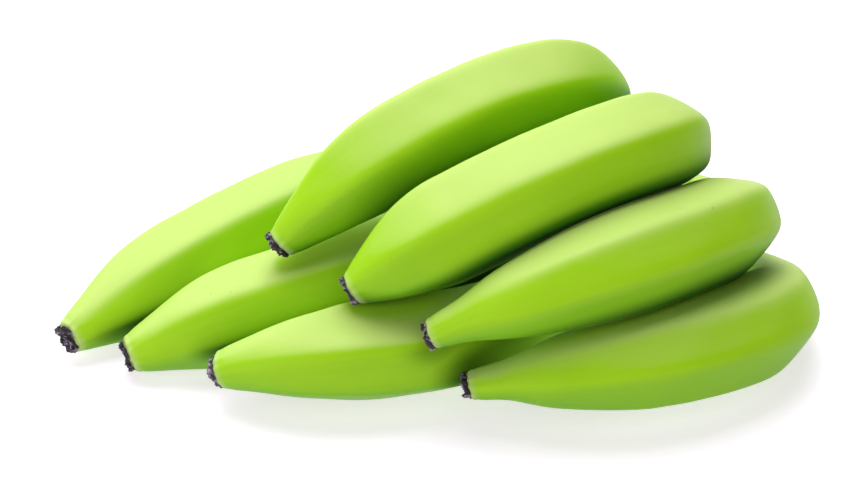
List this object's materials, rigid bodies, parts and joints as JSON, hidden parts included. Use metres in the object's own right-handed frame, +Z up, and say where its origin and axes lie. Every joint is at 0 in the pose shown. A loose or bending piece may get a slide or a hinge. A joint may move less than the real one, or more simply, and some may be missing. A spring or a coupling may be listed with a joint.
{
  "type": "bunch of bananas",
  "caption": "Hand of green, unripe bananas lying on its side: curved, softly angled fruits still joined at one cut crown, each with a dry black blossom end.",
  "frame": {"origin": "centre of the bounding box's bottom face, on the surface that the bunch lies on", "axes": "+X along the length of the bunch, towards the curled banana's shoulder; +Y towards the crown; +Z up"},
  "size_m": [0.2679, 0.1716, 0.1067],
  "materials": {
    "green_peel": "waxy green banana peel, satin",
    "dry_blossom": "dry, crumbly, near-black flower remains",
    "crown_flesh": "fibrous stem tissue with a healed cut"
  },
  "bodies": {
    "root": {"crown": "crown_flesh", "banana_1": "green_peel", "banana_2": "green_peel", "banana_3": "green_peel", "banana_4": "green_peel", "banana_5": "green_peel", "banana_6": "green_peel", "banana_7": "green_peel", "blossom_end_1": "dry_blossom", "blossom_end_2": "dry_blossom", "blossom_end_3": "dry_blossom", "blossom_end_4": "dry_blossom", "blossom_end_5": "dry_blossom", "blossom_end_6": "dry_blossom", "blossom_end_7": "dry_blossom"}
  },
  "joints": []
}
